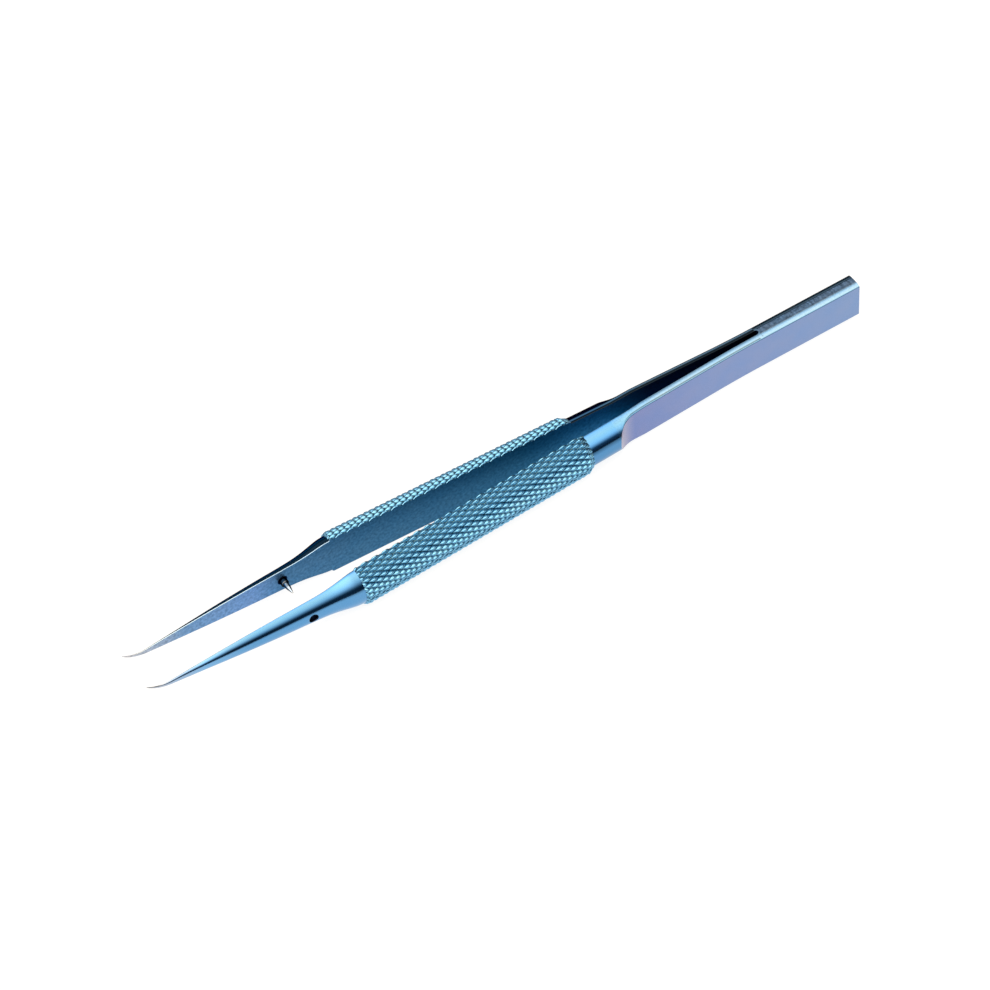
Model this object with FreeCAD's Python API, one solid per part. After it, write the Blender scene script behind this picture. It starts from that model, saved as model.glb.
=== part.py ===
import FreeCAD, Part
import math
import os

# Precision tweezers: two mirror-image titanium arms joined by welds at the tail.
# Millimetres. +X runs to the tail end, the tips point to -X, +Z is up,
# the front arm lies at -Y and the rear arm at +Y.
V = FreeCAD.Vector

# ---------------- driving dimensions ----------------
ARM_LENGTH = 131.0        # developed length of one arm, tail end to tip
TAIL_THICKNESS = 2.90     # across the two outer flats of the welded tail
LEAF_RADIUS = 3.55        # radius of the rounded top and bottom edges of tail and leaves
SLOT_HALF = 0.41          # inner face of each arm to the mid-plane, measured square to the arm
SLOT_END = 18.25          # tail end to the rounded end of the slot
BEND_START = 18.66        # leaves leave the tail here
BEND_END = 27.00          # ... and run straight from here
OPEN_ANGLE = 2.34         # each arm opens by this angle, degrees
FLAT_END = 41.00          # leaf ends and the neck begins
CUTTER_START = 43.00      # outer flat ends and the cutter run-out begins
CUTTER_RADIUS = 5.00      # run-out radius of the outer flat
NECK_START = 44.70        # the round tapers from the leaf's radius to the neck's up to here
NECK_RADIUS = 3.25
HANDLE_START = 52.00
HANDLE_END = 94.40
HANDLE_RADIUS = 4.00      # over the knurl
HANDLE_CHAMFER = 0.38     # at the blade end
HANDLE_CONE = (1.10, 0.55)  # tail end of the handle: length and height of its cone
EDGE_BREAK = 0.14         # 45 degree bevel on the handle's two inner edges
SHOULDER_START = 95.80    # blades turn back parallel over this stretch
SHOULDER_END = 102.35
SHOULDER_IN = 2.45        # degrees, back towards the other arm
SHOULDER_UP = 1.37        # degrees, upwards
TIP_CURVE_START = 126.50
TIP_CURVE = 42.0          # degrees, upwards, over the last stretch
TAIL_CORNER = 0.20        # rounding of the tail end's top and bottom corners
WELD_HALF_WIDTH = 0.62    # weld bead on the tail's top and bottom edges
WELD_DEPTH = 0.55
PIN_STATION = 102.87      # guide pin and guide hole, along the arm
PIN_SHANK_R = 0.50
PIN_SHANK_DEPTH = 1.30
PIN_SHOULDER_R = 0.64
PIN_SHOULDER_H = 0.95
PIN_LENGTH = 2.95         # beyond the rear arm's inner face
PIN_BASE_R = 0.43
PIN_TIP_R = 0.13
HOLE_R = 0.78
HOLE_SINK = 0.22          # countersink width at the inner mouth

# half height and thickness of the blade section at stations along the arm
BLADE = [
    (94.40, 3.496, 3.110), (95.40, 3.400, 3.010), (96.40, 3.194, 2.810), (97.60, 2.911, 2.530),
    (99.00, 2.628, 2.250), (100.60, 2.415, 2.040), (102.87, 2.253, 1.880), (105.50, 2.121, 1.750),
    (109.20, 1.914, 1.547), (113.50, 1.629, 1.270), (117.90, 1.282, 0.945), (121.00, 1.010, 0.700),
    (124.45, 0.700, 0.450), (126.20, 0.510, 0.335), (127.70, 0.350, 0.245), (129.20, 0.215, 0.165),
    (130.30, 0.125, 0.115), (131.00, 0.060, 0.080),
]

HALF_T = TAIL_THICKNESS / 2.0
os.makedirs("parts", exist_ok=True)


def ramp(u, a, b):
    return min(max((u - a) / (b - a), 0.0), 1.0)


def plan_angle(u):
    return math.radians(OPEN_ANGLE * ramp(u, BEND_START, BEND_END)
                        - SHOULDER_IN * ramp(u, SHOULDER_START, SHOULDER_END))


def rise_angle(u):
    return math.radians(SHOULDER_UP * ramp(u, SHOULDER_START, SHOULDER_END)
                        + TIP_CURVE * ramp(u, TIP_CURVE_START, ARM_LENGTH))


def frame_at(u):
    """origin on the arm's centre line, along, outward and up directions"""
    n = max(int(u / 0.02), 1)
    x = y = z = 0.0
    h = u / n
    for i in range(n):
        m = (i + 0.5) * h
        a, e = plan_angle(m), rise_angle(m)
        x += math.cos(a) * math.cos(e) * h
        y += math.sin(a) * math.cos(e) * h
        z += math.sin(e) * h
    a, e = plan_angle(u), rise_angle(u)
    along = V(math.cos(a) * math.cos(e), math.sin(a) * math.cos(e), math.sin(e))
    out = V(-math.sin(a), math.cos(a), 0.0)
    return V(x, y, z), along, out, along.cross(out)


def placed(shape, u):
    """move a shape drawn about station u (along, outward, up) onto the bent arm"""
    o, t, w, k = frame_at(u)
    m = FreeCAD.Matrix(t.x, w.x, k.x, o.x, t.y, w.y, k.y, o.y, t.z, w.z, k.z, o.z, 0, 0, 0, 1)
    s = shape.copy()
    s.Placement = FreeCAD.Placement(m).multiply(s.Placement)
    return s


def leaf_section(w0, w1, x):
    """slice of a round bar between two planes, in the plane of constant x"""
    z0 = math.sqrt(LEAF_RADIUS ** 2 - w0 ** 2)
    z1 = math.sqrt(LEAF_RADIUS ** 2 - w1 ** 2)
    wm = (w0 + w1) / 2.0
    zm = math.sqrt(LEAF_RADIUS ** 2 - wm ** 2)
    edges = [
        Part.makeLine(V(x, w0, -z0), V(x, w0, z0)),
        Part.Arc(V(x, w0, z0), V(x, wm, zm), V(x, w1, z1)).toShape(),
        Part.makeLine(V(x, w1, z1), V(x, w1, -z1)),
        Part.Arc(V(x, w1, -z1), V(x, wm, -zm), V(x, w0, -z0)).toShape(),
    ]
    return Part.Face(Part.Wire(edges))


def box(x0, x1, y0, y1, z0, z1):
    return Part.makeBox(x1 - x0, y1 - y0, z1 - z0, V(x0, y0, z0))


# ---------------- tail half and weld beads (drawn with x = distance from the tail end) ----------------
tail = leaf_section(0.0, HALF_T, 0.0).extrude(V(BEND_START, 0, 0))
side = box(0, BEND_START, -5, 5, -LEAF_RADIUS, LEAF_RADIUS)
corner_edges = [e for e in side.Edges
                if abs(e.BoundBox.XMax) < 1e-6 and e.BoundBox.YLength > 9.0]
side = side.makeFillet(TAIL_CORNER, corner_edges)
tail = tail.common(side)
slot = box(BEND_START, BEND_START + 2, -SLOT_HALF, SLOT_HALF, -6, 6)
slot = slot.fuse(Part.makeCylinder(SLOT_HALF, 12, V(BEND_START, 0, -6)))
tail = tail.cut(slot)
bead_zone = box(-1, SLOT_END - 0.12, -WELD_HALF_WIDTH, WELD_HALF_WIDTH, LEAF_RADIUS - WELD_DEPTH, LEAF_RADIUS + 1)
bead_zone_low = box(-1, SLOT_END - 0.12, -WELD_HALF_WIDTH, WELD_HALF_WIDTH, -LEAF_RADIUS - 1, -LEAF_RADIUS + WELD_DEPTH)
bar = Part.makeCylinder(LEAF_RADIUS, BEND_START, V(0, 0, 0), V(1, 0, 0)).common(side)
bead = bar.common(bead_zone)
bead_low = bar.common(bead_zone_low)
tail = tail.cut(bead_zone).cut(bead_zone_low)

# ---------------- spring leaf ----------------
section = leaf_section(SLOT_HALF, HALF_T, BEND_START)
bend_radius = (BEND_END - BEND_START) / math.radians(OPEN_ANGLE)
leaf_bend = section.revolve(V(BEND_START, bend_radius, 0), V(0, 0, 1), OPEN_ANGLE)
leaf_run = placed(leaf_section(SLOT_HALF, HALF_T, 0.0).extrude(V(FLAT_END - BEND_END, 0, 0)), BEND_END)
leaf = leaf_bend.fuse(leaf_run).removeSplitter()

# ---------------- neck with the run-out, handle, then the lofted blade ----------------
u0 = FLAT_END
prof = [(0, 0), (0, LEAF_RADIUS), (NECK_START - u0, NECK_RADIUS),
        (HANDLE_START - u0, NECK_RADIUS), (HANDLE_START - u0, HANDLE_RADIUS - HANDLE_CONE[1]),
        (HANDLE_START + HANDLE_CONE[0] - u0, HANDLE_RADIUS), (HANDLE_END - HANDLE_CHAMFER - u0, HANDLE_RADIUS),
        (HANDLE_END - u0, HANDLE_RADIUS - HANDLE_CHAMFER), (HANDLE_END - u0, 0)]
pts = [V(a, 0, b) for a, b in prof]
turned = Part.Face(Part.makePolygon(pts + [pts[0]])).revolve(V(0, 0, 0), V(1, 0, 0), 360)
turned = Part.Solid(turned) if turned.ShapeType == "Shell" else turned
half = turned.common(box(-1, 60, SLOT_HALF, 6, -6, 6))
half = half.cut(Part.makeCylinder(CUTTER_RADIUS, 12, V(CUTTER_START - u0, HALF_T + CUTTER_RADIUS, -6)))
half = half.cut(box(-1, CUTTER_START - u0, HALF_T, 6, -6, 6))
zc = math.sqrt(HANDLE_RADIUS ** 2 - SLOT_HALF ** 2)
for s in (1, -1):
    corner = [V(HANDLE_START - u0, SLOT_HALF - 0.1, s * (zc - EDGE_BREAK - 0.1)),
              V(HANDLE_START - u0, SLOT_HALF - 0.1, s * (zc + 1.0)),
              V(HANDLE_START - u0, SLOT_HALF + EDGE_BREAK + 1.0, s * (zc + 1.0))]
    wedge = Part.Face(Part.makePolygon(corner + [corner[0]])).extrude(V(HANDLE_END - HANDLE_START, 0, 0))
    half = half.cut(wedge)
neck = placed(half.common(box(-1, HANDLE_START - u0, -1, 6, -6, 6)), FLAT_END)
grip = placed(half.common(box(HANDLE_START - u0, 60, -1, 6, -6, 6)), FLAT_END)


def monotone_cubic(xs, ys):
    """interpolant through the stations that never over-shoots between them"""
    n = len(xs)
    d = [(ys[i + 1] - ys[i]) / (xs[i + 1] - xs[i]) for i in range(n - 1)]
    m = [d[0]] + [0.0] * (n - 2) + [d[-1]]
    for i in range(1, n - 1):
        if d[i - 1] * d[i] > 0:
            h0, h1 = xs[i] - xs[i - 1], xs[i + 1] - xs[i]
            w0, w1 = 2 * h1 + h0, h1 + 2 * h0
            m[i] = (w0 + w1) / (w0 / d[i - 1] + w1 / d[i])

    def f(x):
        i = 0
        while i < n - 2 and x > xs[i + 1]:
            i += 1
        h = xs[i + 1] - xs[i]
        t = (x - xs[i]) / h
        return (ys[i] * (1 + 2 * t) * (1 - t) ** 2 + m[i] * h * t * (1 - t) ** 2
                + ys[i + 1] * t * t * (3 - 2 * t) + m[i + 1] * h * t * t * (t - 1))
    return f


half_height = monotone_cubic([b[0] for b in BLADE], [b[1] for b in BLADE])
thickness = monotone_cubic([b[0] for b in BLADE], [b[2] for b in BLADE])
stations = [HANDLE_END + 1.15 * i for i in range(26)]
stations += [stations[-1] + (ARM_LENGTH - stations[-1]) * i / 10.0 for i in range(1, 11)]
wires = []
for u in stations:
    hh, tt = half_height(u), thickness(u)
    o, t, w, k = frame_at(u)
    a = o + w * SLOT_HALF - k * hh
    b = o + w * (SLOT_HALF + tt)
    c = o + w * SLOT_HALF + k * hh
    wires.append(Part.Wire([Part.Arc(a, b, c).toShape(), Part.makeLine(c, a)]))
blade = Part.makeLoft(wires, True, False)


def cylinder_at(u, w0, w1, r0, r1=None, z=0.0):
    """round body square to the arm's inner face, between two outward distances"""
    o, t, w, k = frame_at(u)
    base = o + w * w0 + k * z
    direction = w if w1 > w0 else w * -1
    if r1 is None or abs(r1 - r0) < 1e-9:
        return Part.makeCylinder(r0, abs(w1 - w0), base, direction)
    return Part.makeCone(r0, r1, abs(w1 - w0), base, direction)


# guide hole with a countersunk inner mouth in the front blade
guide_hole = cylinder_at(PIN_STATION, SLOT_HALF - 1, SLOT_HALF + 4, HOLE_R)
sink = cylinder_at(PIN_STATION, SLOT_HALF - 0.001, SLOT_HALF + HOLE_SINK, HOLE_R + HOLE_SINK, HOLE_R)
front_design = blade.cut(guide_hole).cut(sink)
# pin seat in the rear blade
seat = cylinder_at(PIN_STATION, SLOT_HALF - 1, SLOT_HALF + PIN_SHANK_DEPTH, PIN_SHANK_R)
rear_design = blade.cut(seat)

# guide pin: shank, shoulder, tapered nose with a rounded point; drawn along +Z then stood on its axis
nose_len = PIN_LENGTH - PIN_SHOULDER_H
mid_r, mid_h = PIN_BASE_R - 0.03, PIN_SHOULDER_H + nose_len * 0.40
dome_h = 0.10
up = V(0, 0, 1)
pin = Part.makeCylinder(PIN_SHANK_R, PIN_SHANK_DEPTH, V(0, 0, -PIN_SHANK_DEPTH), up)
pin = pin.fuse(Part.makeCylinder(PIN_SHOULDER_R, PIN_SHOULDER_H - 0.12, V(0, 0, 0), up))
pin = pin.fuse(Part.makeCone(PIN_SHOULDER_R, PIN_SHOULDER_R - 0.12, 0.12, V(0, 0, PIN_SHOULDER_H - 0.12), up))
pin = pin.fuse(Part.makeCone(PIN_BASE_R, mid_r, mid_h - PIN_SHOULDER_H, V(0, 0, PIN_SHOULDER_H), up))
pin = pin.fuse(Part.makeCone(mid_r, PIN_TIP_R, PIN_LENGTH - dome_h - mid_h, V(0, 0, mid_h), up))
pin = pin.fuse(Part.makeCone(PIN_TIP_R, PIN_TIP_R * 0.45, dome_h, V(0, 0, PIN_LENGTH - dome_h), up))
o, t, w, k = frame_at(PIN_STATION)
base = o + w * SLOT_HALF
ax, ay, az = t, k, w * -1          # right-handed: t x k = -w
m = FreeCAD.Matrix(ax.x, ay.x, az.x, base.x, ax.y, ay.y, az.y, base.y, ax.z, ay.z, az.z, base.z, 0, 0, 0, 1)
pin.Placement = FreeCAD.Placement(m)

# ---------------- set out in the row's frame ----------------
tip = frame_at(ARM_LENGTH)
X_TIP = tip[0].x + 0.06 * abs(tip[3].x)
X_SHIFT = X_TIP / 2.0
# lowest line of the handle: where the bevel meets the round
lean = zc - EDGE_BREAK - SLOT_HALF          # the bevel is the line z = w + lean
W_FOOT = (-lean + math.sqrt(2 * HANDLE_RADIUS ** 2 - lean ** 2)) / 2.0
Z_SHIFT = W_FOOT + lean


def to_front(shape):
    s = shape.copy()
    s.rotate(V(0, 0, 0), V(0, 0, 1), 180)
    s.translate(V(X_SHIFT, 0, Z_SHIFT))
    return s


def to_rear(shape):
    return to_front(shape).mirror(V(0, 0, 0), V(0, 1, 0))


nodes = {
    "front_tail_half": to_front(tail),
    "rear_tail_half": to_rear(tail),
    "tail_weld_top": to_front(bead),
    "tail_weld_bottom": to_front(bead_low),
    "front_spring_leaf": to_front(leaf),
    "rear_spring_leaf": to_rear(leaf),
    "front_neck": to_front(neck),
    "rear_neck": to_rear(neck),
    "front_grip": to_front(grip),
    "rear_grip": to_rear(grip),
    "front_blade": to_front(front_design),
    "rear_blade": to_rear(rear_design),
    "guide_pin": to_rear(pin),
}
for name, shape in nodes.items():
    solids = shape.Solids
    body = solids[0] if len(solids) == 1 else shape
    body.exportStep("parts/%s.step" % name)
    bb = body.BoundBox
    print(name, "solids", len(solids), "valid", body.isValid(), "vol %.3f" % body.Volume,
          "x %.3f %.3f y %.3f %.3f z %.3f %.3f" % (bb.XMin, bb.XMax, bb.YMin, bb.YMax, bb.ZMin, bb.ZMax))

for label, u in (("pivot", 29.8), ("pin", PIN_STATION), ("tip", ARM_LENGTH), ("handle_mid", 73.2), ("jaw_start", 105.5), ("flat_end", FLAT_END)):
    o, t, w, k = frame_at(u)
    print(label, "x %.4f y(front) %.4f z %.4f" % (X_SHIFT - o.x, -o.y, Z_SHIFT + o.z),
          "inner face y %.4f" % (-(o + w * SLOT_HALF).y), "shift", X_SHIFT, Z_SHIFT)
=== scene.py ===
import bpy, bmesh, math
import numpy as np
from mathutils import Vector, Matrix


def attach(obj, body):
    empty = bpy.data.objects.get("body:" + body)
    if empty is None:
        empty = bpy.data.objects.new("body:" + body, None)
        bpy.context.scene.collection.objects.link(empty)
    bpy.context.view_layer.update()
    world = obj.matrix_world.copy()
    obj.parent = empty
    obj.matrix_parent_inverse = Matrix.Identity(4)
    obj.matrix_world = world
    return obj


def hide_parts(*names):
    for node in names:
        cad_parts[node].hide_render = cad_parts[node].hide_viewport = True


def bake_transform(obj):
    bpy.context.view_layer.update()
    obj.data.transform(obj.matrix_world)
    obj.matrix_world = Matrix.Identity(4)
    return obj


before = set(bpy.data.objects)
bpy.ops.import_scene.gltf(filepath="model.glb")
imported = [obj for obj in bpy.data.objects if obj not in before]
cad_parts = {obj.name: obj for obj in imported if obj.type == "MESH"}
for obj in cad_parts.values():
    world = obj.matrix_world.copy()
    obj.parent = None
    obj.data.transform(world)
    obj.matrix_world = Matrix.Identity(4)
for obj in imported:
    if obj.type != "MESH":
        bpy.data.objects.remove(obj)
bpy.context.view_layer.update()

# ------------------------------------------------------------------ dimensions (mm), as the frame was designed
L = 131.0
HALF_T = 1.45
R_LEAF = 3.55
G = 0.41
SLOT_END = 18.25
B0, B1, OPEN = 18.66, 27.0, 2.34
FLAT_END, CUT0, R_CUT = 41.0, 43.0, 5.0
NECK0, R_NECK = 44.7, 3.25
H0, H1, RH, HCH = 52.0, 94.4, 4.0, 0.38
CONE_L, CONE_H = 1.10, 0.55
EB = 0.14                                   # bevel on the handle's inner edges
S0, S1, S_IN, S_UP = 95.8, 102.35, 2.45, 1.37
T0, T_CURVE = 126.5, 42.0
PIN_U = 102.87
CH = 0.07                                   # broken inner edges
BLADE = [(94.40, 3.496, 3.110), (95.40, 3.400, 3.010), (96.40, 3.194, 2.810), (97.60, 2.911, 2.530),
         (99.00, 2.628, 2.250), (100.60, 2.415, 2.040), (102.87, 2.253, 1.880), (105.50, 2.121, 1.750),
         (109.20, 1.914, 1.547), (113.50, 1.629, 1.270), (117.90, 1.282, 0.945), (121.00, 1.010, 0.700),
         (124.45, 0.700, 0.450), (126.20, 0.510, 0.335), (127.70, 0.350, 0.245), (129.20, 0.215, 0.165),
         (130.30, 0.125, 0.115), (131.00, 0.060, 0.080)]
KN_AX, KN_AR, KN_N = 1.93, 15.0, 16         # knurl: period along (mm), period around (deg), samples per period
KN_DEPTH = 0.46

# ------------------------------------------------------------------ centre line of an arm
_u = np.linspace(0, L, 13101)
_m = (_u[1:] + _u[:-1]) / 2


def ramp(u, a, b):
    return np.clip((np.asarray(u, float) - a) / (b - a), 0, 1)


def plan(u):
    return np.radians(OPEN * ramp(u, B0, B1) - S_IN * ramp(u, S0, S1))


def rise(u):
    return np.radians(S_UP * ramp(u, S0, S1) + T_CURVE * ramp(u, T0, L))


_d = np.diff(_u)
_x = np.concatenate([[0], np.cumsum(np.cos(plan(_m)) * np.cos(rise(_m)) * _d)])
_y = np.concatenate([[0], np.cumsum(np.sin(plan(_m)) * np.cos(rise(_m)) * _d)])
_z = np.concatenate([[0], np.cumsum(np.sin(rise(_m)) * _d)])
_a, _e = plan(L), rise(L)
XS = (_x[-1] + 0.06 * abs(-math.cos(_a) * math.sin(_e))) / 2.0
_lean = math.sqrt(RH ** 2 - G ** 2) - EB - G
W_FOOT = (-_lean + math.sqrt(2 * RH ** 2 - _lean ** 2)) / 2.0
ZS = W_FOOT + _lean
A_EB = math.degrees(math.atan2(ZS, W_FOOT))


def place(side, u, w, z):
    """side +1 front arm, -1 rear arm; distances along, outward and up in mm -> row frame in metres"""
    u, w, z = np.broadcast_arrays(np.asarray(u, float), np.asarray(w, float), np.asarray(z, float))
    x, y, zz = np.interp(u, _u, _x), np.interp(u, _u, _y), np.interp(u, _u, _z)
    a, e = plan(u), rise(u)
    # along (ca*ce, sa*ce, se), out (-sa, ca, 0), up = along x out
    ux, uy, uz = -np.cos(a) * np.sin(e), -np.sin(a) * np.sin(e), np.cos(e)
    X = x - w * np.sin(a) + z * ux
    Y = y + w * np.cos(a) + z * uy
    Z = zz + z * uz
    return np.stack([XS - X, -side * Y, ZS + Z], -1) * 0.001


def pchip(xs, ys):
    xs, ys = np.array(xs, float), np.array(ys, float)
    h = np.diff(xs); d = np.diff(ys) / h
    m = np.concatenate([[d[0]], np.zeros(len(xs) - 2), [d[-1]]])
    for i in range(1, len(xs) - 1):
        if d[i - 1] * d[i] > 0:
            w0, w1 = 2 * h[i] + h[i - 1], h[i] + 2 * h[i - 1]
            m[i] = (w0 + w1) / (w0 / d[i - 1] + w1 / d[i])

    def f(x):
        x = np.asarray(x, float)
        i = np.clip(np.searchsorted(xs, x, side="right") - 1, 0, len(xs) - 2)
        t = (x - xs[i]) / h[i]
        return (ys[i] * (1 + 2 * t) * (1 - t) ** 2 + m[i] * h[i] * t * (1 - t) ** 2
                + ys[i + 1] * t * t * (3 - 2 * t) + m[i + 1] * h[i] * t * t * (t - 1))
    return f


blade_h = pchip([b[0] for b in BLADE], [b[1] for b in BLADE])
blade_t = pchip([b[0] for b in BLADE], [b[2] for b in BLADE])


def flat_w(u):
    """outward distance of the outer flat and its cutter run-out"""
    d = np.clip(np.asarray(u, float) - CUT0, 0, R_CUT - 1e-6)
    return HALF_T + R_CUT - np.sqrt(R_CUT ** 2 - d ** 2)


def leaf_r(u):
    return R_LEAF - (R_LEAF - R_NECK) * ramp(u, FLAT_END, NECK0)


# ------------------------------------------------------------------ mesh gathering
class Mesh:
    def __init__(self):
        self.v, self.f, self.mat, self.uv, self.sh, self.n = [], [], [], [], [], 0

    def grid(self, pts, uv, mat, flip=False, shade=1.0):
        """pts (rows, cols, 3); uv (rows, cols, 2); a strip of quads"""
        r, c = pts.shape[:2]
        self.v.append(pts.reshape(-1, 3)); self.uv.append(np.broadcast_to(uv, (r, c, 2)).reshape(-1, 2))
        self.sh.append(np.broadcast_to(np.asarray(shade, float), (r, c)).ravel())
        idx = np.arange(r * c).reshape(r, c) + self.n
        a, b = idx[:-1, :-1], idx[1:, :-1]
        d, e = idx[:-1, 1:], idx[1:, 1:]
        q = np.stack([a, d, e, b], -1).reshape(-1, 4)
        if flip:
            q = q[:, ::-1]
        self.f.append(q); self.mat.append(np.full(len(q), mat))
        self.n += r * c
        return idx

    def fan(self, loop, centre, uv, mat, flip=False):
        """loop (n,3) closed, joined to one centre point"""
        n = len(loop)
        self.v.append(np.vstack([loop, centre[None]])); self.uv.append(np.repeat(np.asarray(uv, float)[None], n + 1, 0))
        self.sh.append(np.ones(n + 1))
        i = np.arange(n) + self.n; c = np.full(n, self.n + n)
        q = np.stack([i, np.roll(i, -1), c, c], -1)
        if flip:
            q = np.stack([np.roll(i, -1), i, c, c], -1)
        self.f.append(q); self.mat.append(np.full(n, mat)); self.n += n + 1

    def build(self, name, mats, weld=2e-7, sharp=32.0):
        v = np.vstack(self.v); f = np.vstack(self.f); mt = np.concatenate(self.mat); uv = np.vstack(self.uv); sh = np.concatenate(self.sh)
        key = np.round(v / weld).astype(np.int64)
        _, first, inv = np.unique(key, axis=0, return_index=True, return_inverse=True)
        inv = inv.ravel()
        faces, fm, loops_uv, loops_sh = [], [], [], []
        for q, m in zip(f, mt):
            src = []
            for k in q:
                if not src or inv[k] != inv[src[-1]]:
                    src.append(k)
            while len(src) > 1 and inv[src[0]] == inv[src[-1]]:
                src.pop()
            if len(src) < 3 or len({int(inv[s]) for s in src}) < 3:
                continue
            faces.append([int(inv[s]) for s in src]); fm.append(m); loops_uv.extend(uv[s] for s in src)
            loops_sh.extend((sh[s], 0.0) for s in src)
        me = bpy.data.meshes.new(name)
        me.from_pydata(v[first].tolist(), [], faces)
        for m in mats:
            me.materials.append(m)
        me.polygons.foreach_set("material_index", np.array(fm, np.int32))
        layer = me.uv_layers.new(name="UVMap")
        layer.data.foreach_set("uv", np.array(loops_uv, np.float32).ravel())
        layer = me.uv_layers.new(name="shade")
        layer.data.foreach_set("uv", np.array(loops_sh, np.float32).ravel())
        me.polygons.foreach_set("use_smooth", np.ones(len(me.polygons), bool))
        me.validate()
        bm = bmesh.new(); bm.from_mesh(me)
        bmesh.ops.recalc_face_normals(bm, faces=bm.faces)
        bm.to_mesh(me); bm.free()
        me.set_sharp_from_angle(angle=math.radians(sharp))
        ob = bpy.data.objects.new(name, me)
        bpy.context.scene.collection.objects.link(ob)
        return ob


def uvs(u, s):
    u, s = np.broadcast_arrays(u, s)
    return np.stack([u * 0.01, s * 0.01], -1)


# ------------------------------------------------------------------ materials
def mat_new(name):
    m = bpy.data.materials.new(name); m.use_nodes = True
    nt = m.node_tree; nt.nodes.clear()
    out = nt.nodes.new("ShaderNodeOutputMaterial"); p = nt.nodes.new("ShaderNodeBsdfPrincipled")
    nt.links.new(p.outputs["BSDF"], out.inputs["Surface"])
    return m, nt, p


def node(nt, kind, **kw):
    n = nt.nodes.new(kind)
    for k, v in kw.items():
        setattr(n, k, v)
    return n


def ramp_node(nt, stops, interp="LINEAR"):
    r = nt.nodes.new("ShaderNodeValToRGB")
    el = r.color_ramp.elements
    r.color_ramp.interpolation = interp
    while len(el) > 1:
        el.remove(el[-1])
    el[0].position = stops[0][0]; el[0].color = (*stops[0][1], 1)
    for p, c in stops[1:]:
        e = el.new(p); e.color = (*c, 1)
    return r


def srgb(r, g, b, k=1.0):
    out = []
    for c in (r, g, b):
        c = c / 255.0
        out.append(k * (c / 12.92 if c <= 0.04045 else ((c + 0.055) / 1.055) ** 2.4))
    return tuple(out)


def metal(name, stops, rough, rough_var, grain=900.0, bump=0.12, stretch=(1.0, 1.0), speck=0.10, speck_scale=700.0,
          patch=0.06, tip_rough=None, spec_tint=None):
    """anodised metal: colour along the arm from the stops (u in mm), fine grain, soft patches of colour"""
    m, nt, p = mat_new(name)
    uv = node(nt, "ShaderNodeUVMap", uv_map="UVMap")
    sep = node(nt, "ShaderNodeSeparateXYZ"); nt.links.new(uv.outputs[0], sep.inputs[0])
    pos = node(nt, "ShaderNodeMath", operation="DIVIDE"); pos.inputs[1].default_value = L * 0.01
    nt.links.new(sep.outputs[0], pos.inputs[0])
    col = ramp_node(nt, [(u / L, c) for u, c in stops]); nt.links.new(pos.outputs[0], col.inputs[0])
    # grain, stretched along or around
    mp = node(nt, "ShaderNodeMapping"); mp.inputs["Scale"].default_value = (stretch[0], stretch[1], 1.0)
    nt.links.new(uv.outputs[0], mp.inputs[0])
    n1 = node(nt, "ShaderNodeTexNoise"); n1.inputs["Scale"].default_value = grain
    n1.inputs["Detail"].default_value = 5.0; n1.inputs["Roughness"].default_value = 0.62
    nt.links.new(mp.outputs[0], n1.inputs["Vector"])
    # speckle
    n2 = node(nt, "ShaderNodeTexNoise"); n2.inputs["Scale"].default_value = speck_scale
    n2.inputs["Detail"].default_value = 3.0; nt.links.new(uv.outputs[0], n2.inputs["Vector"])
    # patches
    n3 = node(nt, "ShaderNodeTexNoise"); n3.inputs["Scale"].default_value = 28.0
    n3.inputs["Detail"].default_value = 3.0; nt.links.new(uv.outputs[0], n3.inputs["Vector"])
    r2 = ramp_node(nt, [(0.30, (1 - speck,) * 3), (0.70, (1 + speck * 0.6,) * 3)]); nt.links.new(n2.outputs[0], r2.inputs[0])
    r3 = ramp_node(nt, [(0.30, (1 - patch, 1 - patch * 0.4, 1.0)), (0.70, (1 + patch, 1.0, 1 - patch * 0.4))])
    nt.links.new(n3.outputs[0], r3.inputs[0])
    m1 = node(nt, "ShaderNodeMix", data_type="RGBA", blend_type="MULTIPLY"); m1.inputs[0].default_value = 1.0
    nt.links.new(col.outputs[0], m1.inputs[6]); nt.links.new(r2.outputs[0], m1.inputs[7])
    m2 = node(nt, "ShaderNodeMix", data_type="RGBA", blend_type="MULTIPLY"); m2.inputs[0].default_value = 1.0
    nt.links.new(m1.outputs[2], m2.inputs[6]); nt.links.new(r3.outputs[0], m2.inputs[7])
    # painted light and shade: the shade UV layer multiplies the base colour and, unless spec_tint is given, the
    # specular tint, so reflections also darken where shade is painted
    sh = node(nt, "ShaderNodeUVMap", uv_map="shade"); sx = node(nt, "ShaderNodeSeparateXYZ"); nt.links.new(sh.outputs[0], sx.inputs[0])
    m3 = node(nt, "ShaderNodeMix", data_type="RGBA", blend_type="MULTIPLY"); m3.inputs[0].default_value = 1.0
    nt.links.new(m2.outputs[2], m3.inputs[6]); nt.links.new(sx.outputs[0], m3.inputs[7])
    nt.links.new(m3.outputs[2], p.inputs["Base Color"])
    if spec_tint:
        p.inputs["Specular Tint"].default_value = (*spec_tint, 1)
    else:
        nt.links.new(sx.outputs[0], p.inputs["Specular Tint"])
    rr = node(nt, "ShaderNodeMapRange"); rr.inputs[1].default_value = 0.3; rr.inputs[2].default_value = 0.7
    rr.inputs[3].default_value = rough - rough_var; rr.inputs[4].default_value = rough + rough_var
    nt.links.new(n1.outputs[0], rr.inputs[0]); nt.links.new(rr.outputs[0], p.inputs["Roughness"])
    bp = node(nt, "ShaderNodeBump"); bp.inputs["Strength"].default_value = bump; bp.inputs["Distance"].default_value = 0.00002
    nt.links.new(n1.outputs[0], bp.inputs["Height"]); nt.links.new(bp.outputs[0], p.inputs["Normal"])
    p.inputs["Metallic"].default_value = 1.0
    return m


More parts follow.
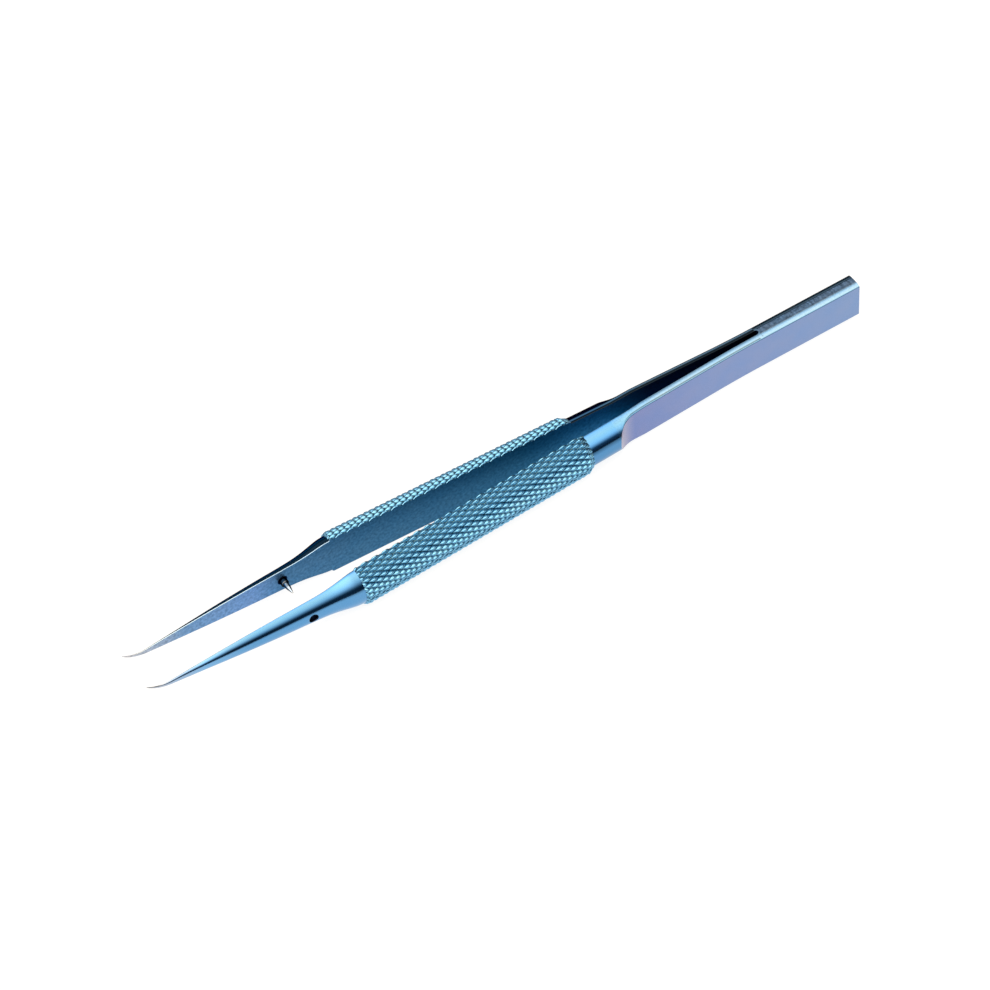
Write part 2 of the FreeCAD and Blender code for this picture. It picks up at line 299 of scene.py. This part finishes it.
BLUE = (0.10, 0.30, 0.58)
TURNED = metal("anodised_turned_blue", [(0, BLUE), (113, (0.12, 0.33, 0.60)), (121, (0.20, 0.43, 0.70)), (127, (0.37, 0.48, 0.63)), (131, (0.60, 0.60, 0.60))],
               0.14, 0.03, grain=520.0, stretch=(9.0, 0.7), bump=0.05, speck=0.06)
KNURL = metal("anodised_knurl_blue", [(0, (0.16, 0.42, 0.64)), (131, (0.16, 0.42, 0.64))], 0.25, 0.06, grain=700.0, bump=0.08, speck=0.12)
GROUND = metal("anodised_ground_periwinkle", [(0, (0.21, 0.32, 0.55)), (30, (0.21, 0.29, 0.53)), (43, (0.19, 0.25, 0.50)), (45.5, (0.33, 0.33, 0.48)), (46.8, (0.46, 0.42, 0.52))],
               0.30, 0.05, grain=420.0, stretch=(0.6, 7.0), bump=0.08, speck=0.05, patch=0.07)
# inner faces: near black from the tail through the leaves and lighter toward the blades, painted shade where the arms
# face each other closely
INNER = metal("anodised_inner_satin_painted_shade", [(0, (0.004, 0.006, 0.01)), (38, (0.01, 0.03, 0.07)), (46, (0.04, 0.15, 0.30)), (60, (0.04, 0.13, 0.23)), (90, (0.07, 0.18, 0.31)), (103, (0.09, 0.21, 0.37)), (108, (0.19, 0.34, 0.62)), (120, (0.20, 0.35, 0.56)), (131, (0.60, 0.60, 0.60))],
              0.42, 0.06, grain=600.0, stretch=(3.0, 0.8), bump=0.25, speck=0.30, speck_scale=200.0, spec_tint=(0.2, 0.5, 0.9))
EDGE = metal("anodised_broken_edge", [(0, (0.16, 0.22, 0.28)), (125, (0.18, 0.26, 0.32)), (131, (0.5, 0.5, 0.52))], 0.28, 0.05, grain=800.0, bump=0.10)
ROUND = metal("anodised_tail_round_grey", [(0, (0.23, 0.42, 0.60)), (38, (0.23, 0.42, 0.60)), (45, (0.14, 0.35, 0.59)), (52, BLUE)], 0.19, 0.04, grain=420.0, stretch=(0.6, 7.0), bump=0.08, speck=0.10, speck_scale=300.0)
WELDM = metal("weld_bead_grey_blue", [(0, (0.20, 0.34, 0.53)), (20, (0.19, 0.33, 0.52))], 0.34, 0.10, grain=300.0, bump=0.35, speck=0.45, speck_scale=150.0, patch=0.12)
PINM = metal("pin_polished", [(0, (0.40, 0.49, 0.56)), (131, (0.40, 0.49, 0.56))], 0.10, 0.03, grain=600.0, bump=0.05, speck=0.04)
# near-black colour for the thin ring round the guide pin's base
PIN_RING_M = metal("near_black_pin_base_ring", [(0, (0.012, 0.02, 0.045)), (131, (0.012, 0.02, 0.045))], 0.35, 0.08, grain=600.0, bump=0.15, speck=0.15, spec_tint=(0.1, 0.2, 0.4))
MATS = [TURNED, KNURL, GROUND, INNER, EDGE, ROUND]
M_TURN, M_KNURL, M_FLAT, M_IN, M_EDGE, M_ROUND = range(6)

# ------------------------------------------------------------------ one arm: neck with the run-out, knurled handle, blade
ARC = np.array([A_EB] + [KN_AR / KN_N * k for k in range(87, -88, -1)] + [-A_EB])   # degrees on the handle
N_ARC = len(ARC)
MID = N_ARC // 2
N_IN = 14
N_FLAT = 24
K_IN = np.concatenate([[-1, -0.985], np.linspace(-1, 1, N_IN + 1)[1:-1], [0.985, 1]])


def blade_circle(u):
    """centre and radius of the blade's outer arc, half height of its inner face"""
    hb, tb = blade_h(u), blade_t(u)
    rb = (hb ** 2 + tb ** 2) / (2 * tb)
    return G + tb - rb, rb, hb


BEV = 0.12                                  # broken edge of the outer flats


def painted_light_of(side, ang, part="neck"):
    """painted light and shade round the section (ang from outward, + up), multiplied into the base colour: on the rear
    arm a painted dark upper back with a painted pale highlight line beside the inner edge; on the front arm painted
    shade that deepens the dark reflection band along its outside, with a painted highlight by the inner edge"""
    ang = np.asarray(ang, float)
    if side > 0:
        if part == "neck":
            return np.interp(ang, [15, 30, 36, 74, 84], [0.9, 0.3, 1.0, 1.0, 2.0])
        if part == "blade":
            return np.interp(ang, [20, 30, 45, 60, 80], [1.0, 0.5, 0.5, 0.85, 1.1])
        return np.ones_like(ang)
    if part == "blade":
        return np.interp(ang, [8, 30, 60, 90], [1.0, 0.12, 0.25, 0.35])
    return np.interp(ang, [8, 30, 68, 73, 78], [1.0, 0.15, 0.15, 1.8, 0.15])


def knurl_drop(u, ang):
    """how far the surface lies under the tooth tips"""
    p1 = (u - H0) / KN_AX + ang / KN_AR
    p2 = (u - H0) / KN_AX - ang / KN_AR
    q = np.abs(np.sin(np.pi * p1)) * np.abs(np.sin(np.pi * p2))      # crossing V grooves, crowned teeth
    return KN_DEPTH * (1 - q ** 0.66)


def inner_strip(M, side, u, top, low, ew, ez, mat_edge, dark=1.0):
    """inner face between z = low and z = top, and the strips joining it to the arc's two end columns"""
    U = u[:, None]
    zz = low[:, None] + (top - low)[:, None] * (K_IN[None] + 1) / 2
    M.grid(place(side, U, G, zz), uvs(U, zz + 40), M_IN)
    for z_in, col in ((top, 0), (low, -1)):
        pw = np.stack([np.full(len(u), G), ew[:, col]], 1)
        pz = np.stack([z_in, ez[:, col]], 1)
        # painted light on the rear arm's upper inner edge strip: below 1 a painted shade line, above 1 a painted
        # highlight line
        M.grid(place(side, U, pw, pz), uvs(U, pz + 50), mat_edge, shade=dark if col == 0 and side < 0 else 1.0)
    return zz


def end_cap(M, side, u0, loop_w, loop_z, mat, wc):
    M.fan(place(side, u0, loop_w, loop_z), place(side, u0, wc, 0.0), (u0 * 0.01, 0.4), mat)


def neck_piece(name, side):
    M = Mesh()
    us = np.linspace(46.2, 47.6, 8001)
    apex = float(us[np.argmax(flat_w(us) > leaf_r(us))])
    t = np.linspace(0, 1, 44)
    u = FLAT_END + (apex - FLAT_END) * (1 - (1 - t) ** 1.8)
    u[np.argmin(abs(u - NECK0))] = NECK0
    u[-1] = apex
    r = leaf_r(u); fw = np.minimum(flat_w(u), r); fw[-1] = r[-1]
    kb = np.clip((2.4 - fw) / 0.9, 0, 1) * BEV
    fb = fw - kb                                    # the arc stops here, a narrow bevel leads to the flat
    hin = np.sqrt(r ** 2 - (G + CH) ** 2)
    a0 = np.degrees(np.arccos((G + CH) / r)); a1 = np.degrees(np.arccos(np.clip(fb / r, -1, 1)))
    k = ARC[:MID + 1] / ARC[0]                      # 1 .. 0
    up = a1[:, None] + (a0 - a1)[:, None] * k[None]
    w_, z_ = r[:, None] * np.cos(np.radians(up)), r[:, None] * np.sin(np.radians(up))
    U = u[:, None]
    # painted light and shade round the section (on the front arm fading in from u 43 to 46), less a painted shade line
    # beside the flat's bevel that fades out by u 46.6
    M.grid(place(side, U, w_, z_), uvs(U, np.radians(up) * 3.5), M_ROUND,
           shade=1 + (painted_light_of(side, up, "neck") - 1) * (np.clip((U - 43) / 3, 0, 1) if side > 0 else 1.0) - 0.58 * np.clip((U - 46.6) / -3, 0, 1) * np.clip((w_ - (fb[:, None] - 0.23)) / 0.08, 0, 1))
    M.grid(place(side, U, w_[:, ::-1], -z_[:, ::-1]), uvs(U, -np.radians(up[:, ::-1]) * 3.5), M_ROUND)
    zb = r * np.sin(np.radians(a1))
    zf = zb - 1.28 * kb
    for sgn in (1, -1):
        M.grid(place(side, U, np.stack([fb, fw], 1), sgn * np.stack([zb, zf], 1)), uvs(U, np.array([[11.0, 11.2]])), M_ROUND)
    k2 = np.linspace(1, -1, N_FLAT + 1)
    M.grid(place(side, U, fw[:, None], zf[:, None] * k2[None]), uvs(U, zf[:, None] * k2[None] + 20), M_FLAT)
    zi = np.sqrt(r ** 2 - G ** 2) - CH
    ew = np.stack([np.full(len(u), G + CH)] * 2, 1); ez = np.stack([hin, -hin], 1)
    # 0.12: painted shade along the rear neck's upper inner edge
    zz = inner_strip(M, side, u, zi, -zi, ew, ez, M_EDGE, 0.12)
    end_cap(M, side, u[0], np.concatenate([w_[0], np.full(N_FLAT + 1, fw[0]), w_[0, ::-1], np.full(len(K_IN), G)]),
            np.concatenate([z_[0], zf[0] * k2, -z_[0, ::-1], zz[0]]), M_IN, 1.0)
    # round neck
    u = np.concatenate([[apex], np.linspace(apex + 0.12, H0, 18)]); U = u[:, None]
    r = leaf_r(u)
    a0 = np.degrees(np.arccos((G + CH) / r))
    ang = ARC[None] / ARC[0] * a0[:, None]
    w_, z_ = r[:, None] * np.cos(np.radians(ang)), r[:, None] * np.sin(np.radians(ang))
    # painted light and shade round the round neck's section
    M.grid(place(side, U, w_, z_), uvs(U, np.radians(ang) * 3.25), M_TURN, shade=painted_light_of(side, ang))
    zi = np.sqrt(r ** 2 - G ** 2) - CH
    # 0.12: painted shade along the rear neck's upper inner edge
    zz = inner_strip(M, side, u, zi, -zi, w_, z_, M_EDGE, 0.12)
    end_cap(M, side, u[-1], np.concatenate([w_[-1], np.full(len(K_IN), G)]), np.concatenate([z_[-1], zz[-1]]), M_IN, 1.5)
    return M.build(name, MATS)


def grip_piece(name, side):
    M = Mesh()
    u = H0 + np.arange(0, int((H1 - H0) / (KN_AX / KN_N)) + 1) * KN_AX / KN_N
    u = np.unique(np.round(np.concatenate([u, [H0 + CONE_L, H1 - HCH, H1]]), 6)); U = u[:, None]
    env = np.minimum(np.minimum(RH, RH - CONE_H + (u - H0) * CONE_H / CONE_L), RH - HCH + (H1 - u))

    def radius(ang):
        dr = knurl_drop(U, ang) * np.clip((ang + 81.0) / 7.0, 0.08, 1.0)
        return np.maximum(np.minimum(RH - dr, env[:, None] - 0.5 * dr), 3.262)
    ang = np.repeat(ARC[None], len(u), 0)
    rr = radius(ang)
    w_, z_ = rr * np.cos(np.radians(ang)), rr * np.sin(np.radians(ang))
    # painted shade in the knurl's grooves and a slight painted highlight on the tooth tips
    M.grid(place(side, U, w_, z_), uvs(U, np.radians(ang) * 4.0), M_KNURL, shade=np.interp(knurl_drop(U, ang) / KN_DEPTH, [0.0, 0.5, 1.0], [1.1, 1.0, 0.35]))
    a_lim = math.degrees(math.acos(G / RH))
    zc = math.sqrt(RH ** 2 - G ** 2) - EB
    top = np.minimum(zc, np.sqrt(radius(np.full((len(u), 1), a_lim))[:, 0] ** 2 - G ** 2))
    low = -np.minimum(zc, np.sqrt(radius(np.full((len(u), 1), -a_lim))[:, 0] ** 2 - G ** 2))
    zz = inner_strip(M, side, u, top, low, w_, z_, M_KNURL)
    for i in (0, -1):
        end_cap(M, side, u[i], np.concatenate([w_[i], np.full(len(K_IN), G)]), np.concatenate([z_[i], zz[i]]), M_TURN, 1.7)
    return M.build(name, MATS)


def blade_piece(name, side):
    M = Mesh()
    u = np.concatenate([np.arange(H1, 126, 0.35), np.linspace(126, 129.5, 24), np.linspace(129.65, L, 16)])
    u = np.unique(np.round(u, 5)); U = u[:, None]
    c, r, h = blade_circle(u)
    ch = np.minimum(CH, 0.10 * h)
    h_edge = np.sqrt(np.maximum(r ** 2 - (G + ch - c) ** 2, 1e-8))
    a0 = np.degrees(np.arctan2(h_edge, G + ch - c))
    ang = ARC[None] / ARC[0] * a0[:, None]
    w_ = c[:, None] + r[:, None] * np.cos(np.radians(ang)); z_ = r[:, None] * np.sin(np.radians(ang))
    # painted light and shade round the blade's section, fading out toward the tip (from u 127 on the rear arm, from u
    # 117 on the front)
    M.grid(place(side, U, w_, z_), uvs(U, np.radians(ang) * r[:, None]), M_TURN, shade=1 + (painted_light_of(side, ang, "blade") - 1) * (1 - np.clip((U - (127 if side < 0 else 117)) / 4, 0, 1)))
    # 2.6: painted highlight line along the rear blade's upper inner edge
    zz = inner_strip(M, side, u, h - ch, ch - h, w_, z_, M_EDGE, 2.6)
    end_cap(M, side, H1, np.concatenate([w_[0], np.full(len(K_IN), G)]), np.concatenate([z_[0], zz[0]]), M_TURN, 1.6)
    # blunt rounded tip
    loop = place(side, L, np.concatenate([w_[-1], np.full(len(K_IN), G)]), np.concatenate([z_[-1], zz[-1]]))
    al = place(side, L, G + 0.035, 0.0) - place(side, L - 0.05, G + 0.035, 0.0)
    M.fan(loop, place(side, L, G + 0.035, 0.0) + al * 0.9, (L * 0.01, 0.5), M_TURN)
    return M.build(name, MATS)


def bar_piece(name, side, u, tail=False, sections=None):
    """leaf: slice of the round-edged bar between inner face and outer flat"""
    M = Mesh()
    u = np.asarray(u, float)
    n = 16
    a0, a1 = math.acos((G + CH) / R_LEAF), math.acos((HALF_T - BEV) / R_LEAF)
    an = np.linspace(a0, a1, n + 1)
    w_, z_ = R_LEAF * np.cos(an), R_LEAF * np.sin(an)
    zf = z_[-1] - 1.28 * BEV
    zi = math.sqrt(R_LEAF ** 2 - G ** 2) - CH
    kk = np.linspace(1, -1, 17)
    U = u[:, None]
    # painted light and shade round the leaf's upper arc, with a painted shade line where the arc meets the flat's bevel
    M.grid(place(side, U, w_[None], z_[None]), uvs(U, an[None] * 3.5), M_ROUND, shade=(painted_light_of(side, np.degrees(an), "leaf") * np.interp(w_, [1.10, 1.18], [1.0, 0.42]))[None])
    M.grid(place(side, U, w_[::-1][None], -z_[::-1][None]), uvs(U, -an[::-1][None] * 3.5), M_ROUND)
    for sgn in (1, -1):
        M.grid(place(side, U, np.array([[HALF_T - BEV, HALF_T]]), sgn * np.array([[z_[-1], zf]])), uvs(U, np.array([[11.0, 11.2]])), M_ROUND)
    M.grid(place(side, U, HALF_T, (zf * kk)[None]), uvs(U, (zf * kk)[None] + 20), M_FLAT)
    M.grid(place(side, U, G, (zi * kk[::-1])[None]), uvs(U, (zi * kk[::-1])[None] + 40), M_IN)
    for sgn in (1, -1):
        # painted shade along the rear leaf's upper inner edge
        M.grid(place(side, U, np.array([[G, G + CH]]), sgn * np.array([[zi, z_[0]]])), uvs(U, np.array([[50.0, 50.1]])), M_EDGE, shade=0.12 if side < 0 and sgn > 0 else 1.0)
    lw = np.concatenate([w_, np.full(17, HALF_T), w_[::-1], np.full(17, G)])
    lz = np.concatenate([z_, zf * kk, -z_[::-1], zi * kk[::-1]])
    for u0 in (u[0], u[-1]):
        M.fan(place(side, u0, lw, lz), place(side, u0, 0.93, 0.0), (u0 * 0.01, 0.4), M_IN)
    return M.build(name, MATS)


pieces = {}
for side, tag in ((1, "front"), (-1, "rear")):
    pieces[tag + "_neck"] = neck_piece(tag + "_neck_body", side)
    pieces[tag + "_grip"] = grip_piece(tag + "_grip_body", side)
    pieces[tag + "_blade"] = blade_piece(tag + "_blade_body", side)
    pieces[tag + "_leaf"] = bar_piece(tag + "_leaf_spring", side, np.linspace(B0, FLAT_END, 120))

# guide hole through the front blade: exact boolean with a stepped cutter
def revolve(name, prof, n, mat, side, u0, painted_light=None):
    """profile of (distance beyond the inner face towards the other arm, radius)"""
    M = Mesh()
    th = np.linspace(0, 2 * np.pi, n + 1)
    d = np.array([p[0] for p in prof]); r = np.array([p[1] for p in prof])
    pts = place(side, u0, 0, 0)  # centre line point
    o = place(side, u0, G, 0.0)
    t = place(side, u0 + 0.01, G, 0.0) - place(side, u0 - 0.01, G, 0.0); t /= np.linalg.norm(t)
    w = place(side, u0, G - 1, 0.0) - o; w /= np.linalg.norm(w)
    z = place(side, u0, G, 1.0) - o; z /= np.linalg.norm(z)
    P = o + (w * d[:, None, None] + r[:, None, None] * (t * np.cos(th)[None, :, None] + z * np.sin(th)[None, :, None])) * 0.001
    sh = 1.0
    # painted light on the pin: faces turned up and toward the viewing side stay bright, the flanks are painted dark,
    # and the shoulder below the step at the given distance is painted darker than the nose
    if painted_light:
        dirs = t[0] * np.cos(th) + z[0] * np.sin(th), t[2] * np.cos(th) + z[2] * np.sin(th)
        facing = -0.383 * dirs[0] + 0.924 * dirs[1]
        sh = np.interp(facing, [0.45, 0.80, 0.92], [0.10, 0.35, 1.0])[None] * np.interp(d, [painted_light - 0.02, painted_light + 0.02], [0.30, 1.15])[:, None]
    M.grid(P, uvs(u0 + 0.3 * d[:, None] + 0 * th[None], r[:, None] * th[None] + 60), 0, shade=sh)
    for i, e in ((0, 1), (-1, -1)):
        if r[i] > 1e-6 and prof[0] != prof[-1]:
            M.fan(P[i, :-1], P[i, :-1].mean(0), (u0 * 0.01, 0.6), 0)
    return M.build(name, [mat], sharp=40)


cut = revolve("cutter", [(0.6, 0.78 + 0.22 + 0.6), (0.0, 0.78 + 0.22), (-0.22, 0.78), (-1.55, 0.78), (-2.4, 0.80)], 64, PIN_RING_M, 1, PIN_U)
arm = pieces["front_blade"]
mod = arm.modifiers.new("hole", "BOOLEAN"); mod.object = cut; mod.operation = "DIFFERENCE"; mod.solver = "EXACT"
mod.material_mode = "TRANSFER"
dg = bpy.context.evaluated_depsgraph_get(); dg.update()
new = bpy.data.meshes.new_from_object(arm.evaluated_get(dg), preserve_all_data_layers=True, depsgraph=dg)
arm.modifiers.clear(); arm.data = new
bpy.data.objects.remove(cut)

PIN_L, PS = 2.95, 0.95
nose = PIN_L - PS
prof = [(-1.25, 0.49), (0.0, 0.49), (0.0, 0.60), (0.03, 0.625), (PS - 0.16, 0.64), (PS - 0.09, 0.62), (PS - 0.03, 0.56), (PS, 0.50), (PS - 0.02, 0.43),
        (PS + 0.02, 0.425), (PS + 0.55, 0.42), (PS + 0.72, 0.405), (PS + 0.90, 0.365), (PS + 1.75, 0.145), (PS + 1.88, 0.115),
        (PIN_L - 0.05, 0.085), (PIN_L - 0.015, 0.05), (PIN_L, 0.0)]
# guide pin with painted light: dark flanks and a darker shoulder
pieces["pin"] = revolve("guide_pin_body", prof, 56, PINM, -1, PIN_U, painted_light=PS)
pieces["seat"] = revolve("guide_pin_dark_ring", [(-0.30, 0.58), (-0.30, 0.84), (0.0, 0.86), (0.035, 0.82), (0.045, 0.70), (0.02, 0.66), (-0.02, 0.58), (-0.30, 0.58)], 56, PIN_RING_M, -1, PIN_U)

# ------------------------------------------------------------------ tail: two halves with rounded end, weld beads in the seam
def tail_half(name, side):
    M = Mesh()
    rc = 0.06
    WH, WD = 0.62, 0.55
    BEAD_END = SLOT_END - 0.05
    # rounded end corners by shrinking the section's height, then the half-round end of the slot
    t = np.linspace(0, math.pi / 2, 9)
    q = np.linspace(0, math.pi / 2, 13)
    s = np.concatenate([rc * (1 - np.sin(t[::-1])), np.linspace(rc, BEAD_END, 40)[1:], [BEAD_END + 0.004], B0 - G * np.cos(q)])
    s = np.unique(np.round(s, 6))
    lower = np.where(s < rc, rc - np.sqrt(np.maximum(rc ** 2 - (rc - s) ** 2, 0)), 0.0)
    zmax = R_LEAF - lower
    w_in = np.sqrt(np.maximum(G ** 2 - (B0 - s) ** 2, 0.0)); w_in[-1] = G
    w_in[s < B0 - G] = 0.0
    w_a = np.where(s <= BEAD_END + 0.001, WH, w_in)
    n = 18
    zw = R_LEAF - WD
    a_out = math.acos((HALF_T - BEV) / R_LEAF)
    a_in = np.arccos(w_a / R_LEAF)
    an = a_in[:, None] + (a_out - a_in)[:, None] * np.linspace(0, 1, n + 1)[None]
    w_ = R_LEAF * np.cos(an); z0 = R_LEAF * np.sin(an)
    Z = np.minimum(z0, zmax[:, None])
    U = s[:, None]
    for sgn in (1, -1):
        # painted light on the rear tail half's upper round: lighter beside the weld, painted shade toward the flat
        sh = 1.0 if side > 0 or sgn < 0 else np.interp(w_, [0.62, 0.95], [1.3, 0.18])
        M.grid(place(side, U, w_, sgn * Z), uvs(U, sgn * an * 3.5), M_ROUND, shade=sh)
        M.grid(place(side, U, np.array([[HALF_T - BEV, HALF_T]]), sgn * np.stack([Z[:, -1], Z[:, -1] - 1.28 * BEV], 1)), uvs(U, np.array([[11.0, 11.2]])), M_ROUND)
        # groove wall and floor that the bead fills, and the wall of the slot's end
        gw = np.stack([w_a, w_a, w_in], 1)
        gz = np.stack([Z[:, 0], np.minimum(zw, Z[:, 0]), np.minimum(zw, Z[:, 0])], 1)
        M.grid(place(side, U, gw, sgn * gz), uvs(U, np.array([[30.0, 30.5, 31.0]])), M_IN)
    kk = np.linspace(1, -1, 25)
    ZF = Z[:, -1:] - 1.28 * BEV
    M.grid(place(side, U, HALF_T, ZF * kk[None]), uvs(U, 3.14 * kk[None] + 20), M_FLAT)
    M.grid(place(side, U, w_in[:, None], zw * kk[None] + 0 * U), uvs(U, (zw * kk)[None] + 40), M_IN)
    for u0, row in ((s[0], 0), (s[-1], -1)):
        wi, wa = w_in[row], w_a[row]
        lw = np.concatenate([[wi, wa], w_[row], np.full(25, HALF_T), w_[row, ::-1], [wa, wi], np.full(25, wi)])
        lz = np.concatenate([[zw, zw], Z[row], ZF[row, 0] * kk, -Z[row][::-1], [-zw, -zw], zw * kk[::-1]])
        M.fan(place(side, u0, lw, lz), place(side, u0, 0.9, 0.0), (u0 * 0.01, 0.4), M_ROUND)
    return M.build(name, MATS)


def weld(name, sgn, seed):
    """bead with overlapping ripples, ending at the slot"""
    M = Mesh()
    rng = np.random.default_rng(seed)
    s = np.unique(np.concatenate([0.06 * (1 - np.sin(np.linspace(0, math.pi / 2, 7)[::-1])), np.linspace(0.06, SLOT_END - 0.05, 420)]))
    c = np.linspace(-1, 1, 25)
    WH = 0.64
    centre = np.cumsum(rng.uniform(0.34, 0.62, 60)); centre = centre[centre < 18.4]
    amp = rng.uniform(0.4, 1.0, len(centre)); skew = rng.uniform(-0.10, 0.10, len(centre))
    U, C = s[:, None], c[None]
    H = np.zeros((len(s), len(c)))
    for x0, a_, k_ in zip(centre, amp, skew):
        q = (U - x0 - 0.16 * (C ** 2) - k_ * C) / 0.30          # crescent ripples
        H = np.maximum(H, a_ * np.exp(-q * q) * (1 - 0.35 * C ** 2))
    top = np.sqrt(R_LEAF ** 2 - (WH * C) ** 2)
    z = top - 0.06 + 0.055 * H
    edge = np.clip((1 - np.abs(C)) / 0.20, 0, 1)
    z = z * edge + (top - 0.085) * (1 - edge)
    rc = 0.06
    lower = np.where(s < rc, rc - np.sqrt(np.maximum(rc ** 2 - (rc - s) ** 2, 0)), 0.0)
    z = np.minimum(z, (R_LEAF - lower)[:, None] - 0.012)
    W = WH * C + 0 * U
    # painted light across the bead: one side painted lighter (up to 1.8), the other painted darker (down to 0.5)
    painted_light = np.interp(W, [-0.6, -0.3, 0.1, 0.4], [1.8, 1.1, 0.9, 0.5])
    M.grid(place(1, U, W, sgn * z), uvs(U, W + 10), 0, shade=painted_light)
    bot = R_LEAF - 0.55
    M.grid(place(1, U, W, sgn * (bot + 0 * z)), uvs(U, W + 14), 0)
    for j in (0, -1):
        M.grid(place(1, U, W[:, [j, j]], sgn * np.stack([z[:, j], np.full(len(s), bot)], 1)), uvs(U, np.array([[16.0, 16.2]])), 0)
    for i in (0, -1):
        M.grid(place(1, s[i], np.stack([W[i], W[i]], 0), sgn * np.stack([z[i], np.full(len(c), bot)], 0)), uvs(np.array([[s[i]], [s[i]]]), W[i][None]), 0)
    return M.build(name, [WELDM], sharp=60)


pieces["front_tail"] = tail_half("front_tail_body", 1)
pieces["rear_tail"] = tail_half("rear_tail_body", -1)
pieces["weld_top"] = weld("weld_bead_top", 1, 7)
pieces["weld_bottom"] = weld("weld_bead_bottom", -1, 11)

# ------------------------------------------------------------------ bodies
def leaf_line(side):
    a = place(side, B0, 0.93, 0.0); b = place(side, FLAT_END, 0.93, 0.0)
    return tuple(a), tuple(b)


for side, tag in ((1, "front"), (-1, "rear")):
    for part in ("_neck", "_grip", "_blade"):
        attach(pieces[tag + part], tag + "_arm"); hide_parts(tag + part)
    a, b = leaf_line(side)
    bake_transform(pieces[tag + "_leaf"]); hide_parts(tag + "_spring_leaf")
    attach(pieces[tag + "_tail"], "tail"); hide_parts(tag + "_tail_half")
for k in ("top", "bottom"):
    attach(pieces["weld_" + k], "tail"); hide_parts("tail_weld_" + k)
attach(pieces["pin"], "rear_arm"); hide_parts("guide_pin")
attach(pieces["seat"], "rear_arm")

# ------------------------------------------------------------------ floor, light, camera
me = bpy.data.meshes.new("floor")
me.from_pydata([(-3, -3, 0), (3, -3, 0), (3, 3, 0), (-3, 3, 0)], [], [(0, 1, 2, 3)])
floor = bpy.data.objects.new("floor", me); bpy.context.scene.collection.objects.link(floor)
m, nt, p = mat_new("studio_floor")
p.inputs["Base Color"].default_value = (0.18, 0.18, 0.18, 1); p.inputs["Roughness"].default_value = 0.9
p.inputs["Specular IOR Level"].default_value = 0.0
p.inputs["Emission Color"].default_value = (1, 1, 1, 1); p.inputs["Emission Strength"].default_value = 0.87
me.materials.append(m)

world = bpy.data.worlds.new("studio"); bpy.context.scene.world = world; world.use_nodes = True
nt = world.node_tree; nt.nodes.clear()
out = nt.nodes.new("ShaderNodeOutputWorld"); bg = nt.nodes.new("ShaderNodeBackground")
tc = nt.nodes.new("ShaderNodeTexCoord"); sp = nt.nodes.new("ShaderNodeSeparateXYZ")
nt.links.new(tc.outputs["Generated"], sp.inputs[0])
neg = nt.nodes.new("ShaderNodeMath"); neg.operation = "MULTIPLY"; neg.inputs[1].default_value = -1
nt.links.new(sp.outputs[1], neg.inputs[0])
at = nt.nodes.new("ShaderNodeMath"); at.operation = "ARCTAN2"; nt.links.new(sp.outputs[2], at.inputs[0]); nt.links.new(neg.outputs[0], at.inputs[1])
fr = nt.nodes.new("ShaderNodeMath"); fr.operation = "MULTIPLY_ADD"; fr.inputs[1].default_value = 1 / (2 * math.pi); fr.inputs[2].default_value = 0.5
nt.links.new(at.outputs[0], fr.inputs[0])


def g(v):
    return (v, v, v)


def deg(d):
    return (d + 180) / 360


# angle round the object's length: 0 front horizon, 90 overhead, 180 back horizon; below is light grey
stops = [(deg(-180), g(0.9)), (deg(-3), g(0.9)), (deg(-1), (0.03, 0.06, 0.09)), (deg(22), (0.03, 0.06, 0.09)), (deg(27), (0.15, 0.25, 0.30)),
         (deg(35.5), (0.95, 0.97, 1.0)), (deg(45), (1.8, 1.72, 1.6)), (deg(55), (2.3, 2.05, 1.75)), (deg(75), (2.9, 2.25, 1.65)),
         (deg(87), (2.8, 2.2, 1.75)), (deg(95), (2.5, 2.1, 1.85)), (deg(99), g(1.65)), (deg(105), g(0.65)), (deg(109), g(0.60)), (deg(120), g(0.60)),
         (deg(137), g(0.40)), (deg(144), g(0.22)), (deg(150), g(0.20)), (deg(158), g(0.35)), (deg(166), g(0.30)), (deg(174), g(0.12)), (deg(180), g(0.08))]
rw = ramp_node(nt, stops)
nt.links.new(fr.outputs[0], rw.inputs[0]); nt.links.new(rw.outputs[0], bg.inputs["Color"])
# softer from the tail's side, stronger from the tips' side
fx = nt.nodes.new("ShaderNodeMath"); fx.operation = "MULTIPLY_ADD"; fx.inputs[1].default_value = 0.5; fx.inputs[2].default_value = 0.5
nt.links.new(sp.outputs[0], fx.inputs[0])
rx = ramp_node(nt, [(0.0, g(1.0)), (0.40, g(1.0)), (0.55, g(0.72)), (0.76, g(0.70)), (0.86, g(0.16)), (1.0, g(0.10))])
nt.links.new(fx.outputs[0], rx.inputs[0])
ml = nt.nodes.new("ShaderNodeMath"); ml.operation = "MULTIPLY"; ml.inputs[1].default_value = 1 / 0.71
nt.links.new(rx.outputs[0], ml.inputs[0]); nt.links.new(ml.outputs[0], bg.inputs["Strength"])
nt.links.new(bg.outputs[0], out.inputs["Surface"])

cam = bpy.data.cameras.new("camera"); co = bpy.data.objects.new("camera", cam); bpy.context.scene.collection.objects.link(co)
cam.sensor_width = 36.0; cam.sensor_fit = "HORIZONTAL"
cam.lens = 36.0 * 5000 / 990
right = Vector((0.83321125, -0.5515675, -0.03914473)); down = Vector((-0.44952067, -0.63442854, -0.62883351)); look = Vector((0.32200959, 0.54154752, -0.77655399))
pos = Vector((-311.18051902 + XS, -410.48165683, 586.97242327 + ZS)) * 0.001
co.matrix_world = Matrix(((right.x, -down.x, -look.x, pos.x), (right.y, -down.y, -look.y, pos.y), (right.z, -down.z, -look.z, pos.z), (0, 0, 0, 1)))
cam.clip_start, cam.clip_end = 0.05, 20
bpy.context.scene.camera = co
bpy.context.scene.view_settings.view_transform = "Standard"
